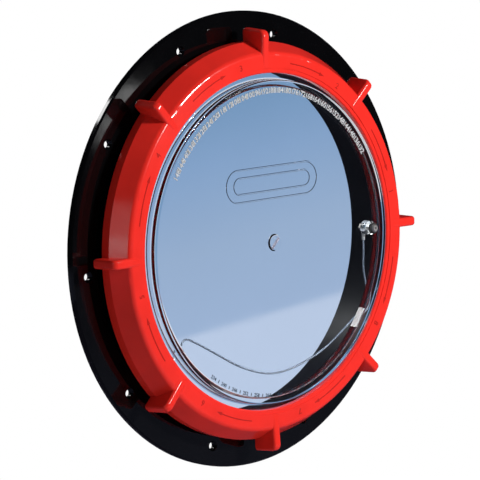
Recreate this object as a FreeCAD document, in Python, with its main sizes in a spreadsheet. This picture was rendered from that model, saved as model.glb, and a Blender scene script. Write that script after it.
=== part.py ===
import FreeCAD, Part
import Sketcher
import math
import os

# Watertight inspection hatch: a flanged frame with a threaded coaming, a clear lid on a
# rubber seal, a screw-down locking ring with eight grip lugs, and a wire lanyard.
# Millimetres, +Z up. The hatch axis lies along Y and the front of the hatch faces -Y.
# The origin is the centre of the flange's back face, the plane that lies on the bulkhead.
# A height in the names below is a distance out of that plane, towards the front.
# An angle is seen from the front, anticlockwise, from the three o'clock side.

doc = FreeCAD.newDocument("inspection_hatch")
sheet = doc.addObject("Spreadsheet::Sheet", "sizes")

FRONT = FreeCAD.Vector(0, -1, 0)


# The driving dimensions, in millimetres and degrees
SIZES = {
    # Mounting frame
    "bore_radius": 129.0,  # clear opening through the frame, from which the other radii follow
    "flange_width": 33.5,  # flange, from the coaming to its outer edge
    "flange_thickness": 4.4,  # flange, from its back face to its front face
    "flange_bevel": 1.3,  # bevelled front edge of the flange
    "spigot_wall": 5.0,  # wall of the spigot that enters the bulkhead cut-out
    "spigot_depth": 11.0,  # how far the spigot stands behind the flange
    "coaming_wall": 7.5,  # wall of the coaming, at the root of its thread
    "coaming_stand": 18.1,  # how far the coaming stands in front of the flange
    "coaming_bevel": 0.8,  # lead-in on the coaming's outer edge
    "spigot_bevel": 1.2,  # lead-in on the spigot's outer edge

    # Fixing holes in the flange
    "screw_margin": 15.0,  # fixing holes' centres, in from the flange's outer edge
    "screw_count": 10,  # fixing holes
    "screw_phase": 3.4,  # angle of the first fixing hole
    "screw_hole": 5.5,  # diameter of a fixing hole
    "screw_sink": 8.0,  # diameter of its countersink

    # Thread between the coaming and the locking ring
    "thread_pitch": 6.0,  # one turn of the ring lifts it this far
    "thread_depth": 2.6,  # radial height of a thread ridge
    "thread_root": 3.2,  # width of a ridge at its root
    "thread_crest": 1.6,  # width of a ridge at its crest
    "thread_clearance": 0.6,  # radial clearance between crest and wall
    "thread_play": 0.3,  # how far the ring's ridge stands off the middle of the gap
    "thread_bite": 0.5,  # how far a ridge is rooted in its wall
    "thread_foot": 6.7,  # how far in front of the flange the coaming's ridge starts
    "frame_thread_turns": 1.5,  # turns of the coaming's ridge
    "ring_thread_turns": 1.0,  # turns of the ring's ridge

    # Locking ring
    "skirt_gap": 7.8,  # gap between the flange and the skirt
    "skirt_wall": 8.2,  # wall of the skirt, outside its thread
    "band_width": 7.4,  # upright band at the foot of the skirt
    "side_inset": 8.4,  # how far the sloping side leans in by the crown
    "crown_rounding": 4.2,  # rounded shoulder between side and crown
    "relief_drop": 0.5,  # how far the ring's threaded wall ends below the coaming's top
    "lip_reach": 4.2,  # how far the clamping lip stands in over the bore
    "lip_thickness": 4.6,  # thickness of the clamping lip
    "lip_bevel": 0.8,  # bevelled inner edge of the lip
    "step_width": 3.4,  # lower step of the crown, next to the lip's edge
    "step_rise": 0.5,  # height of that step
    "ring_clocking": -0.5,  # angle of the first lug when the ring is screwed down

    # Grip lugs
    "lug_count": 8,  # grip lugs round the ring
    "lug_thickness": 7.0,  # thickness of a lug
    "lug_inset": 0.4,  # inner end of a lug, out from the crown's step
    "lug_front_reach": 8.3,  # front outer corner of a lug, out from the skirt
    "lug_front_rise": 1.9,  # how far that corner stands above the crown
    "lug_back_reach": 10.3,  # back outer corner of a lug, out from the skirt
    "lug_back_rise": 0.5,  # a lug's back edge, forward of the skirt's edge
    "lug_front_rounding": 5.0,  # rounded front corner of a lug
    "lug_back_rounding": 2.6,  # rounded back corner of a lug
    "lug_edge_rounding": 2.1,  # rounded edges of a lug
    "lug_root": 3.0,  # how deep a lug is rooted in the ring

    # Clear lid
    "seat_gap": 0.7,  # gap between the coaming and the lid's rim
    "rim_thickness": 5.1,  # lid's rim, which the lip clamps
    "rim_clearance": 0.6,  # radial clearance round the rim
    "contact_gap": 0.2,  # running gap between flat faces that bear on each other
    "disc_inset": 9.0,  # edge of the raised middle, in from the bore
    "disc_rise": 8.7,  # how far the middle stands above the rim
    "disc_thickness": 5.5,  # thickness of the middle
    "disc_wall": 4.0,  # wall round the hollow behind the raised middle
    "disc_bevel": 1.1,  # bevelled front edge of the raised middle
    "pip_radius": 6.4,  # moulding pip at the centre, at its foot
    "pip_top_radius": 5.5,  # moulding pip at its top
    "pip_height": 1.2,  # height of the moulding pip
    "label_centre_x": 0.0,  # label outlines, across
    "label_centre_z": 44.8,  # label outlines, up
    "label_length": 93.0,  # outer label outline, over its round ends
    "label_height": 23.8,  # outer label outline, top to bottom
    "label_inner_length": 78.0,  # inner label outline, over its round ends
    "label_inner_height": 11.9,  # inner label outline, top to bottom
    "label_bead": 1.2,  # width of the raised bead that draws both outlines
    "label_rise": 0.5,  # height of that bead

    # Seal
    "seal_width": 3.6,  # width of the seal
    "seal_groove_depth": 2.0,  # depth of its groove in the lid's rim
    "seal_side_clearance": 0.2,  # clearance on each side of the seal

    # Tether fastener through the lid
    "tether_inset": 11.0,  # the fastener's axis, in from the wall of the hollow
    "tether_angle": -0.7,  # angle of the fastener
    "shank_radius": 1.5,  # screw shank
    "shank_clearance": 0.15,  # radial clearance round a shank
    "head_radius": 2.9,  # screw head
    "head_height": 2.2,  # height of a screw head
    "head_bevel": 0.8,  # bevelled edge of a screw head
    "socket_radius": 1.15,  # hexagon socket in a head, across its corners
    "socket_depth": 1.2,  # depth of that socket
    "sealing_washer_radius": 4.3,  # rubber washer under the head
    "sealing_washer_thickness": 1.2,  # thickness of the rubber washer
    "boss_radius": 5.5,  # boss behind the lid, round the fastener
    "boss_height": 5.0,  # how far the boss stands back from the middle of the lid
    "washer_radius": 5.0,  # plain washer behind the boss
    "washer_thickness": 1.0,  # thickness of the plain washer
    "nut_corner_radius": 3.15,  # hexagon nut, across its corners
    "nut_height": 2.4,  # height of a nut
    "screw_tail": 1.0,  # how far a screw stands through its nut

    # Lanyard and its eyes
    "eye_radius": 3.6,  # outside of a terminal eye
    "eye_thickness": 0.8,  # thickness of a terminal eye
    "barrel_radius": 1.5,  # outside of the crimped barrel
    "barrel_length": 6.4,  # length of the crimped barrel
    "barrel_overlap": 0.3,  # how far the barrel runs onto the eye
    "barrel_standoff": 0.1,  # gap between the barrel and the face that its eye bears on
    "line_radius": 0.75,  # radius of the lanyard line

    # Ear that anchors the lanyard in the bore
    "ear_angle": 225.3,  # angle of the anchor ear
    "ear_reach": 10.0,  # the hole's axis, in from the bore
    "ear_half_width": 5.0,  # half the width of the ear
    "ear_thickness": 3.4,  # thickness of the ear, forward from the flange plane
}

for row, (alias, number) in enumerate(SIZES.items(), start=1):
    sheet.set("A%d" % row, alias.replace("_", " "))
    sheet.set("B%d" % row, str(number))
    sheet.setAlias("B%d" % row, alias)
doc.recompute()

# Derived places, as expressions of the sizes above
COAMING_RADIUS = "(sizes.bore_radius + sizes.coaming_wall)"
COAMING_TOP = "(sizes.flange_thickness + sizes.coaming_stand)"
SPIGOT_RADIUS = "(sizes.bore_radius + sizes.spigot_wall)"
FLANGE_RADIUS = "(%s + sizes.flange_width)" % COAMING_RADIUS
SCREW_CIRCLE = "(%s - sizes.screw_margin)" % FLANGE_RADIUS
FRAME_THREAD_START = "(sizes.flange_thickness + sizes.thread_foot)"
RING_THREAD_START = "(%s + sizes.thread_pitch / 2 + sizes.thread_play)" % FRAME_THREAD_START
LID_RIM_BACK = "(%s + sizes.seat_gap)" % COAMING_TOP
LID_RIM_FRONT = "(%s + sizes.rim_thickness)" % LID_RIM_BACK
LID_FRONT = "(%s + sizes.disc_rise)" % LID_RIM_FRONT
LID_BACK = "(%s - sizes.disc_thickness)" % LID_FRONT
LIP_UNDER = "(%s + sizes.contact_gap)" % LID_RIM_FRONT
LIP_FRONT = "(%s + sizes.lip_thickness)" % LIP_UNDER
CROWN_HEIGHT = "(%s + sizes.step_rise)" % LIP_FRONT
FRAME_CREST = "(%s + sizes.thread_depth)" % COAMING_RADIUS
RING_CREST = "(%s + sizes.thread_clearance)" % COAMING_RADIUS
RING_BORE = "(%s + sizes.thread_clearance)" % FRAME_CREST
RING_RADIUS = "(%s + sizes.skirt_wall)" % RING_BORE
SKIRT_BACK = "(sizes.flange_thickness + sizes.skirt_gap)"
BAND_FRONT = "(%s + sizes.band_width)" % SKIRT_BACK
RELIEF_START = "(%s - sizes.relief_drop)" % COAMING_TOP
CROWN_RADIUS = "(%s - sizes.side_inset)" % RING_RADIUS
LIP_RADIUS = "(sizes.bore_radius - sizes.lip_reach)"
STEP_RADIUS = "(%s + sizes.step_width)" % LIP_RADIUS
LUG_INNER = "(%s + sizes.lug_inset)" % STEP_RADIUS
LUG_ROOT = "(%s - sizes.lug_root)" % RING_RADIUS
DISC_RADIUS = "(sizes.bore_radius - sizes.disc_inset)"
HOLLOW_RADIUS = "(%s - sizes.disc_wall)" % DISC_RADIUS
TETHER_RADIUS = "(%s - sizes.tether_inset)" % HOLLOW_RADIUS
EAR_HOLE_RADIUS = "(sizes.bore_radius - sizes.ear_reach)"
RIM_RADIUS = "(%s - sizes.rim_clearance)" % RING_CREST
SEAL_RADIUS = "(sizes.bore_radius + sizes.coaming_wall / 2)"
SEAL_INNER = "(%s - sizes.seal_width / 2)" % SEAL_RADIUS
SEAL_OUTER = "(%s + sizes.seal_width / 2)" % SEAL_RADIUS
GROOVE_FLOOR = "(%s + sizes.seal_groove_depth)" % LID_RIM_BACK
CLEAR_SHANK = "(sizes.shank_radius + sizes.shank_clearance)"
BOSS_BACK = "(%s - sizes.boss_height)" % LID_BACK
EYE_ON_LID = "(%s - sizes.washer_thickness)" % BOSS_BACK
BARREL_END = "(sizes.eye_radius - sizes.barrel_overlap + sizes.barrel_length)"

# Lanyard line from the lid's eye to the frame's eye, between the ends of the two barrels.
# The first and last of these points continue the barrels' axes.
LINE_ROUTE = [
    (105.0, -23.9, -18.5),
    (106.3, -21.2, -33.5),
    (110.8, -20.7, -50.5),
    (107.3, -20.9, -64.0),
    (97.5, -21.2, -67.9),
    (83.0, -19.8, -78.6),
    (59.5, -17.2, -93.6),
    (20.5, -11.9, -105.0),
    (-12.0, -8.4, -95.5),
    (-38.0, -5.9, -79.9),
    (-55.0, -5.2, -70.3),
    (-67.1, -5.0, -64.4),
    (-71.7, -5.0, -72.5),
]


def value(expression):
    """Works out an expression of the sizes as a plain number."""
    result = sheet.evalExpression(str(expression))
    return float(getattr(result, "Value", result))


def origin_plane(body, role):
    return [feature for feature in body.Origin.OriginFeatures if feature.Role == role][0]


def new_body(label):
    body = doc.addObject("PartDesign::Body", label + "_body")
    body.Label = label
    return body


def across(radius, angle):
    """Distance to the right of the hatch axis."""
    return "(%s) * cos((%s) * 1deg)" % (radius, angle)


def upward(radius, angle):
    """Distance above the hatch axis."""
    return "(%s) * sin((%s) * 1deg)" % (radius, angle)


def section_sketch(body, name, radius="0", angle="0"):
    """Sketch in a plane along the hatch axis: x is a distance from the sketch's own axis, y a height."""
    sketch = body.newObject("Sketcher::SketchObject", name)
    sketch.AttachmentSupport = [(origin_plane(body, "XY_Plane"), "")]
    sketch.MapMode = "FlatFace"
    sketch.AttachmentOffset = FreeCAD.Placement(FreeCAD.Vector(), FreeCAD.Rotation(FreeCAD.Vector(1, 0, 0), 180))
    sketch.setExpression("AttachmentOffset.Base.x", across(radius, angle))
    sketch.setExpression("AttachmentOffset.Base.z", upward(radius, angle))
    return sketch


def front_sketch(body, name, height, radius="0", angle="0"):
    """Sketch square to the hatch axis at a height: x points outward along the angle."""
    sketch = body.newObject("Sketcher::SketchObject", name)
    sketch.AttachmentSupport = [(origin_plane(body, "XZ_Plane"), "")]
    sketch.MapMode = "FlatFace"
    sketch.AttachmentOffset = FreeCAD.Placement(FreeCAD.Vector(), FreeCAD.Rotation(FreeCAD.Vector(0, 0, 1), 1))
    sketch.setExpression("AttachmentOffset.Base.x", across(radius, angle))
    sketch.setExpression("AttachmentOffset.Base.y", upward(radius, angle))
    sketch.setExpression("AttachmentOffset.Base.z", str(height))
    sketch.setExpression("AttachmentOffset.Rotation.Angle", str(angle))
    return sketch


def pin_point(sketch, line, end, x_expression, y_expression):
    """Holds a point of the sketch at a place given by two expressions."""
    for kind, expression in (("DistanceX", x_expression), ("DistanceY", y_expression)):
        number = sketch.addConstraint(Sketcher.Constraint(kind, -1, 1, line, end, value(expression)))
        sketch.setExpression("Constraints[%d]" % number, str(expression))


def outline(sketch, corners):
    """Closed outline between corners given as expressions: x, y and, for a rounded corner, its radius."""
    places = [FreeCAD.Vector(value(corner[0]), value(corner[1]), 0) for corner in corners]
    count = len(corners)
    for index in range(count):
        sketch.addGeometry(Part.LineSegment(places[index], places[(index + 1) % count]), False)
    for index, corner in enumerate(corners):
        if len(corner) == 3:
            round_corner(sketch, index, places, corner)
        else:
            sketch.addConstraint(Sketcher.Constraint("Coincident", (index - 1) % count, 2, index, 1))
            pin_point(sketch, index, 1, corner[0], corner[1])
    return sketch


def round_corner(sketch, index, places, corner):
    """Arc tangent to the two edges that meet at a corner. The corner itself stays as a held point."""
    count = len(places)
    previous = (index - 1) % count
    place = places[index]
    radius = value(corner[2])
    back = (places[previous] - place).normalize()
    ahead = (places[(index + 1) % count] - place).normalize()
    half_angle = back.getAngle(ahead) / 2
    arc_centre = place + (back + ahead).normalize() * (radius / math.sin(half_angle))
    first = place + back * (radius / math.tan(half_angle)) - arc_centre
    last = place + ahead * (radius / math.tan(half_angle)) - arc_centre
    anticlockwise = back.cross(ahead).z < 0
    if not anticlockwise:
        first, last = last, first
    whole = Part.Circle(arc_centre, FreeCAD.Vector(0, 0, 1), radius)
    start_angle = math.atan2(first.y, first.x)
    end_angle = math.atan2(last.y, last.x)
    arc = sketch.addGeometry(Part.ArcOfCircle(whole, start_angle, end_angle), False)
    held = sketch.addGeometry(Part.Point(place), True)
    sketch.addConstraint(Sketcher.Constraint("PointOnObject", held, 1, previous))
    sketch.addConstraint(Sketcher.Constraint("PointOnObject", held, 1, index))
    pin_point(sketch, held, 1, corner[0], corner[1])
    sketch.addConstraint(Sketcher.Constraint("Tangent", previous, 2, arc, 1 if anticlockwise else 2))
    sketch.addConstraint(Sketcher.Constraint("Tangent", index, 1, arc, 2 if anticlockwise else 1))
    number = sketch.addConstraint(Sketcher.Constraint("Radius", arc, radius))
    sketch.setExpression("Constraints[%d]" % number, corner[2])


def circle(sketch, radius_expression):
    """Circle about the sketch's own origin."""
    sketch.addGeometry(Part.Circle(FreeCAD.Vector(), FreeCAD.Vector(0, 0, 1), value(radius_expression)), False)
    sketch.addConstraint(Sketcher.Constraint("Coincident", 0, 3, -1, 1))
    number = sketch.addConstraint(Sketcher.Constraint("Radius", 0, value(radius_expression)))
    sketch.setExpression("Constraints[%d]" % number, radius_expression)
    return sketch


def hexagon(sketch, corner_radius):
    """Regular hexagon about the sketch's own origin."""
    corners = [(across(corner_radius, 60 * k), upward(corner_radius, 60 * k)) for k in range(6)]
    return outline(sketch, corners)


def revolve(body, name, sketch):
    feature = body.newObject("PartDesign::Revolution", name)
    feature.Profile = sketch
    feature.ReferenceAxis = (sketch, ["V_Axis"])
    feature.Angle = 360
    doc.recompute()
    return feature


def pad(body, name, sketch, length):
    feature = body.newObject("PartDesign::Pad", name)
    feature.Profile = sketch
    feature.setExpression("Length", length)
    doc.recompute()
    return feature


def pocket(body, name, sketch, depth):
    """Cuts down from the sketch, and checks that it removed something."""
    before = body.Shape.Volume
    feature = body.newObject("PartDesign::Pocket", name)
    feature.Profile = sketch
    feature.setExpression("Length", depth)
    doc.recompute()
    if not feature.Shape.Volume < before:
        raise RuntimeError(name + " cut nothing")
    return feature


def thread_ridge(body, name, wall_radius, crest_radius, start_height, turns):
    """Helical ridge whose root is sunk a little into its wall. It rises anticlockwise, as a right-hand thread."""
    half_root = "sizes.thread_root / 2"
    half_crest = "sizes.thread_crest / 2"
    inward = value(crest_radius) < value(wall_radius)
    rooted = "%s %s sizes.thread_bite" % (wall_radius, "+" if inward else "-")
    sketch = section_sketch(body, name + "_profile")
    outline(sketch, [
        (rooted, "%s - %s" % (start_height, half_root)),
        (wall_radius, "%s - %s" % (start_height, half_root)),
        (crest_radius, "%s - %s" % (start_height, half_crest)),
        (crest_radius, "%s + %s" % (start_height, half_crest)),
        (wall_radius, "%s + %s" % (start_height, half_root)),
        (rooted, "%s + %s" % (start_height, half_root)),
    ])
    before = body.Shape.Volume
    ridge = body.newObject("PartDesign::AdditiveHelix", name)
    ridge.Profile = sketch
    ridge.ReferenceAxis = (sketch, ["V_Axis"])
    ridge.Mode = 0
    ridge.LeftHanded = False
    ridge.setExpression("Pitch", "sizes.thread_pitch")
    ridge.setExpression("Height", "sizes.thread_pitch * " + turns)
    doc.recompute()
    if not ridge.Shape.Volume > before:
        raise RuntimeError(name + " added nothing")
    return ridge


def near(first, second):
    """Whether two lengths are the same, to the accuracy of the modeller."""
    return abs(first - second) < 1e-4


def round_edges(body, name, names, radius):
    base = body.Tip
    feature = body.newObject("PartDesign::Fillet", name)
    feature.Base = (base, names)
    feature.setExpression("Radius", radius)
    doc.recompute()
    return feature


def bevel_ring(body, name, width, radius, height):
    """Bevels the one whole circle that a turned body has at a radius and a height."""
    wanted_radius = value(radius)
    wanted_height = value(height)
    base = body.Tip
    names = []
    for index, edge in enumerate(base.Shape.Edges):
        if isinstance(edge.Curve, Part.Circle) and near(edge.Curve.Radius, wanted_radius):
            if near(-edge.Curve.Center.y, wanted_height):
                names.append("Edge%d" % (index + 1))
    if len(names) != 1:
        raise RuntimeError("%s: found %d edges" % (name, len(names)))
    bevel = body.newObject("PartDesign::Chamfer", name)
    bevel.Base = (base, names)
    bevel.setExpression("Size", width)
    doc.recompute()
    return bevel


def polar_pattern(body, name, original, axis_sketch, count, whole_body=False):
    pattern = body.newObject("PartDesign::PolarPattern", name)
    if whole_body:
        pattern.TransformMode = "Whole shape"
    else:
        pattern.Originals = [original]
    pattern.Axis = (axis_sketch, ["V_Axis"])
    pattern.Angle = 360
    pattern.setExpression("Occurrences", count)
    body.Tip = pattern
    doc.recompute()
    return pattern


def make_mounting_frame():
    """Black moulding: flange, spigot, threaded coaming, fixing holes and the lanyard's ear."""
    body = new_body("mounting_frame")
    wall = section_sketch(body, "frame_section")
    outline(wall, [
        ("sizes.bore_radius", "-sizes.spigot_depth"),
        (SPIGOT_RADIUS, "-sizes.spigot_depth"),
        (SPIGOT_RADIUS, "0"),
        (FLANGE_RADIUS, "0"),
        (FLANGE_RADIUS, "sizes.flange_thickness"),
        (COAMING_RADIUS, "sizes.flange_thickness"),
        (COAMING_RADIUS, COAMING_TOP),
        ("sizes.bore_radius", COAMING_TOP),
    ])
    revolve(body, "frame_wall", wall)
    bevel_ring(body, "flange_edge", "sizes.flange_bevel", FLANGE_RADIUS, "sizes.flange_thickness")
    bevel_ring(body, "coaming_lead_in", "sizes.coaming_bevel", COAMING_RADIUS, COAMING_TOP)
    bevel_ring(body, "spigot_lead_in", "sizes.spigot_bevel", SPIGOT_RADIUS, "-sizes.spigot_depth")
    thread_ridge(body, "coaming_thread", COAMING_RADIUS, FRAME_CREST,
                 FRAME_THREAD_START, "sizes.frame_thread_turns")
    add_fixing_holes(body, wall)
    add_anchor_ear(body)
    return body


def add_fixing_holes(body, axis_sketch):
    """Countersunk holes all round the flange, sunk from the front."""
    centre = front_sketch(body, "fixing_hole_centre", "sizes.flange_thickness",
                          SCREW_CIRCLE, "sizes.screw_phase")
    circle(centre, "sizes.screw_hole / 2")
    doc.recompute()
    before = body.Shape.Volume
    hole = body.newObject("PartDesign::Hole", "fixing_hole")
    hole.Profile = centre
    hole.DepthType = "ThroughAll"
    hole.setExpression("Diameter", "sizes.screw_hole")
    hole.HoleCutType = "Countersink"
    hole.HoleCutCustomValues = True
    hole.setExpression("HoleCutDiameter", "sizes.screw_sink")
    hole.HoleCutCountersinkAngle = 90
    doc.recompute()
    if not hole.Shape.Volume < before:
        raise RuntimeError("the fixing hole cut nothing")
    polar_pattern(body, "fixing_holes", hole, axis_sketch, "sizes.screw_count")


def add_anchor_ear(body):
    """Round-nosed ear in the bore, bored for the screw that holds the lanyard's eye."""
    half = "sizes.ear_half_width"
    reach = "(sizes.ear_reach + sizes.spigot_wall / 2)"
    plan = front_sketch(body, "ear_plan", "0", EAR_HOLE_RADIUS, "sizes.ear_angle")
    half_value = value(half)
    reach_value = value(reach)
    outer_low = FreeCAD.Vector(reach_value, -half_value, 0)
    outer_high = FreeCAD.Vector(reach_value, half_value, 0)
    nose_high = FreeCAD.Vector(0, half_value, 0)
    nose_low = FreeCAD.Vector(0, -half_value, 0)
    plan.addGeometry(Part.LineSegment(outer_low, outer_high), False)
    plan.addGeometry(Part.LineSegment(outer_high, nose_high), False)
    nose = Part.Circle(FreeCAD.Vector(), FreeCAD.Vector(0, 0, 1), half_value)
    plan.addGeometry(Part.ArcOfCircle(nose, math.pi / 2, 3 * math.pi / 2), False)
    plan.addGeometry(Part.LineSegment(nose_low, outer_low), False)
    plan.addConstraint(Sketcher.Constraint("Coincident", 0, 2, 1, 1))
    plan.addConstraint(Sketcher.Constraint("Coincident", 1, 2, 2, 1))
    plan.addConstraint(Sketcher.Constraint("Coincident", 2, 2, 3, 1))
    plan.addConstraint(Sketcher.Constraint("Coincident", 3, 2, 0, 1))
    plan.addConstraint(Sketcher.Constraint("Coincident", 2, 3, -1, 1))
    pin_point(plan, 0, 1, reach, "-" + half)
    pin_point(plan, 0, 2, reach, half)
    pin_point(plan, 2, 1, "0", half)
    plan.addConstraint(Sketcher.Constraint("Vertical", 2, 1, 2, 2))
    pad(body, "anchor_ear", plan, "sizes.ear_thickness")
    bore = front_sketch(body, "ear_hole_plan", "sizes.ear_thickness", EAR_HOLE_RADIUS, "sizes.ear_angle")
    circle(bore, CLEAR_SHANK)
    pocket(body, "ear_hole", bore, "sizes.ear_thickness")


def make_locking_ring():
    """Red moulding: eight grip lugs on an internally threaded ring with a clamping lip."""
    body = new_body("locking_ring")
    add_lugs(body)
    wall = section_sketch(body, "ring_section")
    outline(wall, [
        (RING_BORE, SKIRT_BACK),
        (RING_RADIUS, SKIRT_BACK),
        (RING_RADIUS, BAND_FRONT),
        (CROWN_RADIUS, CROWN_HEIGHT, "sizes.crown_rounding"),
        (STEP_RADIUS, CROWN_HEIGHT),
        (STEP_RADIUS, LIP_FRONT),
        (LIP_RADIUS, LIP_FRONT),
        (LIP_RADIUS, LIP_UNDER),
        (RING_CREST, LIP_UNDER),
        (RING_CREST, RELIEF_START),
        (RING_BORE, RELIEF_START),
    ])
    revolve(body, "ring_wall", wall)
    bevel_ring(body, "lip_edge", "sizes.lip_bevel", LIP_RADIUS, LIP_FRONT)
    thread_ridge(body, "ring_thread", RING_BORE, RING_CREST, RING_THREAD_START, "sizes.ring_thread_turns")
    body.Placement = FreeCAD.Placement(FreeCAD.Vector(), FreeCAD.Rotation(FRONT, value("sizes.ring_clocking")))
    body.setExpression("Placement.Rotation.Angle", "sizes.ring_clocking")
    return body


def add_lugs(body):
    """Radial fins with rounded edges. Their roots end inside the ring's wall."""
    half_thickness = value("sizes.lug_thickness / 2")
    low_crown = "(%s - sizes.lug_root)" % CROWN_HEIGHT
    lug_back = "(%s + sizes.lug_back_rise)" % SKIRT_BACK
    corners = [
        (LUG_INNER, low_crown),
        (LUG_INNER, CROWN_HEIGHT),
        ("%s + sizes.lug_front_reach" % RING_RADIUS, "%s + sizes.lug_front_rise" % CROWN_HEIGHT),
        ("%s + sizes.lug_back_reach" % RING_RADIUS, lug_back),
        (LUG_ROOT, lug_back),
        (LUG_ROOT, BAND_FRONT),
        ("%s - sizes.lug_root" % CROWN_RADIUS, low_crown),
    ]
    side = section_sketch(body, "lug_side")
    outline(side, corners)
    fin = body.newObject("PartDesign::Pad", "lug_plate")
    fin.Profile = side
    fin.Midplane = True
    fin.setExpression("Length", "sizes.lug_thickness")
    doc.recompute()
    front_corner = (value(corners[2][0]), value(corners[2][1]))
    back_corner = (value(corners[3][0]), value(corners[3][1]))
    round_edges(body, "lug_front_corner", cross_edges(fin.Shape, front_corner), "sizes.lug_front_rounding")
    round_edges(body, "lug_back_corner", cross_edges(body.Tip.Shape, back_corner), "sizes.lug_back_rounding")
    names = lug_side_edges(body.Tip.Shape, half_thickness)
    round_edges(body, "lug_edges", names, "sizes.lug_edge_rounding")
    polar_pattern(body, "lugs", None, side, "sizes.lug_count", whole_body=True)


def cross_edges(shape, corner):
    """Names of the edges that run across the lug at a corner of its side outline."""
    names = []
    for index, edge in enumerate(shape.Edges):
        ends = [vertex.Point for vertex in edge.Vertexes]
        if len(ends) == 2 and all(near(end.x, corner[0]) and near(-end.y, corner[1]) for end in ends):
            names.append("Edge%d" % (index + 1))
    if len(names) != 1:
        raise RuntimeError("lug corner not found")
    return names


def lug_side_edges(shape, half_thickness):
    """Names of the edges round both faces of the lug, on the free side of its root."""
    inner_radius = value(LUG_INNER)
    root_radius = value(LUG_ROOT)
    crown_height = value(CROWN_HEIGHT)
    slack = 0.01
    names = []
    for index, edge in enumerate(shape.Edges):
        ends = [vertex.Point for vertex in edge.Vertexes]
        if len(ends) != 2 or not all(near(abs(end.z), half_thickness) for end in ends):
            continue
        middle = edge.valueAt((edge.FirstParameter + edge.LastParameter) / 2)
        if not near(abs(middle.z), half_thickness):
            continue
        on_front = min(-end.y for end in ends) > crown_height - slack and middle.x > inner_radius
        outside = min(end.x for end in ends) > root_radius - slack and middle.x > root_radius + slack
        if on_front or outside:
            names.append("Edge%d" % (index + 1))
    return names


def make_clear_lid():
    """Clear moulding: raised middle, clamped rim with the seal's groove, label outlines, centre pip and boss."""
    body = new_body("clear_lid")
    groove_inner = "%s - sizes.seal_side_clearance" % SEAL_INNER
    groove_outer = "%s + sizes.seal_side_clearance" % SEAL_OUTER
    section = section_sketch(body, "lid_section")
    outline(section, [
        ("0", LID_BACK),
        (HOLLOW_RADIUS, LID_BACK),
        (HOLLOW_RADIUS, LID_RIM_BACK),
        (groove_inner, LID_RIM_BACK),
        (groove_inner, GROOVE_FLOOR),
        (groove_outer, GROOVE_FLOOR),
        (groove_outer, LID_RIM_BACK),
        (RIM_RADIUS, LID_RIM_BACK),
        (RIM_RADIUS, LID_RIM_FRONT),
        (DISC_RADIUS, LID_RIM_FRONT),
        (DISC_RADIUS, LID_FRONT),
        ("sizes.pip_radius", LID_FRONT),
        ("sizes.pip_top_radius", "%s + sizes.pip_height" % LID_FRONT),
        ("0", "%s + sizes.pip_height" % LID_FRONT),
    ])
    revolve(body, "lid_disc", section)
    bevel_ring(body, "disc_edge", "sizes.disc_bevel", DISC_RADIUS, LID_FRONT)
    add_label_outlines(body)
    boss = front_sketch(body, "boss_plan", BOSS_BACK, TETHER_RADIUS, "sizes.tether_angle")
    circle(boss, "sizes.boss_radius")
    pad(body, "tether_boss", boss, "sizes.boss_height + sizes.disc_thickness / 2")
    bore = front_sketch(body, "tether_hole_plan", LID_FRONT, TETHER_RADIUS, "sizes.tether_angle")
    circle(bore, CLEAR_SHANK)
    pocket(body, "tether_hole", bore, "sizes.disc_thickness + sizes.boss_height")
    return body


def stadium_loop(sketch, centre_x, centre_z, length, height):
    """Closed loop of two straight sides and two round ends, each joined smoothly."""
    first = sketch.GeometryCount
    radius = "(%s) / 2" % height
    left = "%s - (%s - (%s)) / 2" % (centre_x, length, height)
    right = "%s + (%s - (%s)) / 2" % (centre_x, length, height)
    radius_value = value(radius)
    left_centre = FreeCAD.Vector(value(left), value(centre_z), 0)
    right_centre = FreeCAD.Vector(value(right), value(centre_z), 0)
    rise = FreeCAD.Vector(0, radius_value, 0)
    normal = FreeCAD.Vector(0, 0, 1)
    left_end = Part.Circle(left_centre, normal, radius_value)
    right_end = Part.Circle(right_centre, normal, radius_value)
    sketch.addGeometry(Part.LineSegment(right_centre + rise, left_centre + rise), False)
    sketch.addGeometry(Part.ArcOfCircle(left_end, math.pi / 2, 3 * math.pi / 2), False)
    sketch.addGeometry(Part.LineSegment(left_centre - rise, right_centre - rise), False)
    sketch.addGeometry(Part.ArcOfCircle(right_end, -math.pi / 2, math.pi / 2), False)
    for side in range(4):
        after = (side + 1) % 4
        sketch.addConstraint(Sketcher.Constraint("Tangent", first + side, 2, first + after, 1))
    pin_point(sketch, first + 1, 3, left, centre_z)
    pin_point(sketch, first + 3, 3, right, centre_z)
    number = sketch.addConstraint(Sketcher.Constraint("Radius", first + 1, radius_value))
    sketch.setExpression("Constraints[%d]" % number, radius)


def add_label_outlines(body):
    """Two raised outlines with round ends, one inside the other, round the place for a label."""
    plan = front_sketch(body, "label_plan", "%s - sizes.disc_thickness / 2" % LID_FRONT)
    for length, height in (
        ("sizes.label_length", "sizes.label_height"),
        ("sizes.label_inner_length", "sizes.label_inner_height"),
    ):
        for sign in ("+", "-"):
            stadium_loop(
                plan, "sizes.label_centre_x", "sizes.label_centre_z",
                "%s %s sizes.label_bead" % (length, sign), "%s %s sizes.label_bead" % (height, sign),
            )
    pad(body, "label_beads", plan, "sizes.disc_thickness / 2 + sizes.label_rise")


def make_lid_seal():
    """Rubber ring held in the lid's groove. It lands on the coaming."""
    body = new_body("lid_seal")
    landing = "(%s + sizes.contact_gap)" % COAMING_TOP
    section = section_sketch(body, "seal_section")
    outline(section, [
        (SEAL_INNER, landing),
        (SEAL_OUTER, landing),
        (SEAL_OUTER, GROOVE_FLOOR),
        (SEAL_INNER, GROOVE_FLOOR),
    ])
    revolve(body, "seal_ring", section)
    return body


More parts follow.
